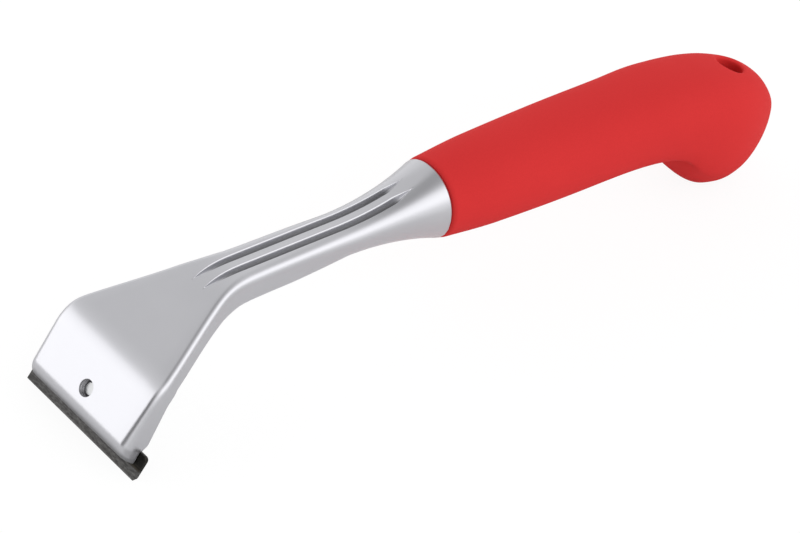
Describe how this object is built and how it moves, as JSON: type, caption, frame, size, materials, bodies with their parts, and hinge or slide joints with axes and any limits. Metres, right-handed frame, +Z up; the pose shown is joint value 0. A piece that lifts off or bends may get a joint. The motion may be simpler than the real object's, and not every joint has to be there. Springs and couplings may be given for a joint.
{
  "type": "paint scraper",
  "caption": "Hand paint scraper: cast head with a steel blade clamped behind its lip, fluted neck, round collar and soft hooked grip with a hanging hole.",
  "frame": {"origin": "middle of the tool's box at the level that it lies on, under the blade's edge and the knob", "axes": "+X from the blade to the handle's end, +Y across the blade, +Z up with the blade's edge and the knob on the table"},
  "size_m": [0.2602, 0.05, 0.0475],
  "materials": {
    "cast_aluminium": "satin die casting",
    "blade_steel": "dark hardened steel",
    "plated_steel": "zinc plated",
    "core_plastic": "moulded",
    "red_rubber": "soft matte"
  },
  "bodies": {
    "tool": {"head_casting": "cast_aluminium", "handle_core": "core_plastic", "tang_pin": "plated_steel", "grip_sleeve": "red_rubber"},
    "blade": {"blade": "blade_steel"},
    "clamp": {"clamp_plate": "plated_steel", "spring_washer": "plated_steel"},
    "screw": {"clamp_screw": "plated_steel"}
  },
  "joints": [
    {"name": "blade_slide", "type": "slide", "parent": "tool", "child": "blade", "axis": [0, 1, 0], "range_m": [-0.048, 0.048]},
    {"name": "clamp_lift", "type": "slide", "parent": "tool", "child": "clamp", "axis": [0.8387, 0, -0.5446], "range_m": [0, 0.003]},
    {"name": "screw_turn", "type": "hinge", "parent": "clamp", "child": "screw", "pos_m": [-0.11975, 0, 0.00967], "axis": [0.8387, 0, -0.5446], "range_deg": [0, 1200]}
  ],
  "couplings": [
    {"joint": "screw_turn", "follows": "clamp_lift", "rad_per_m": 6283.2}
  ]
}
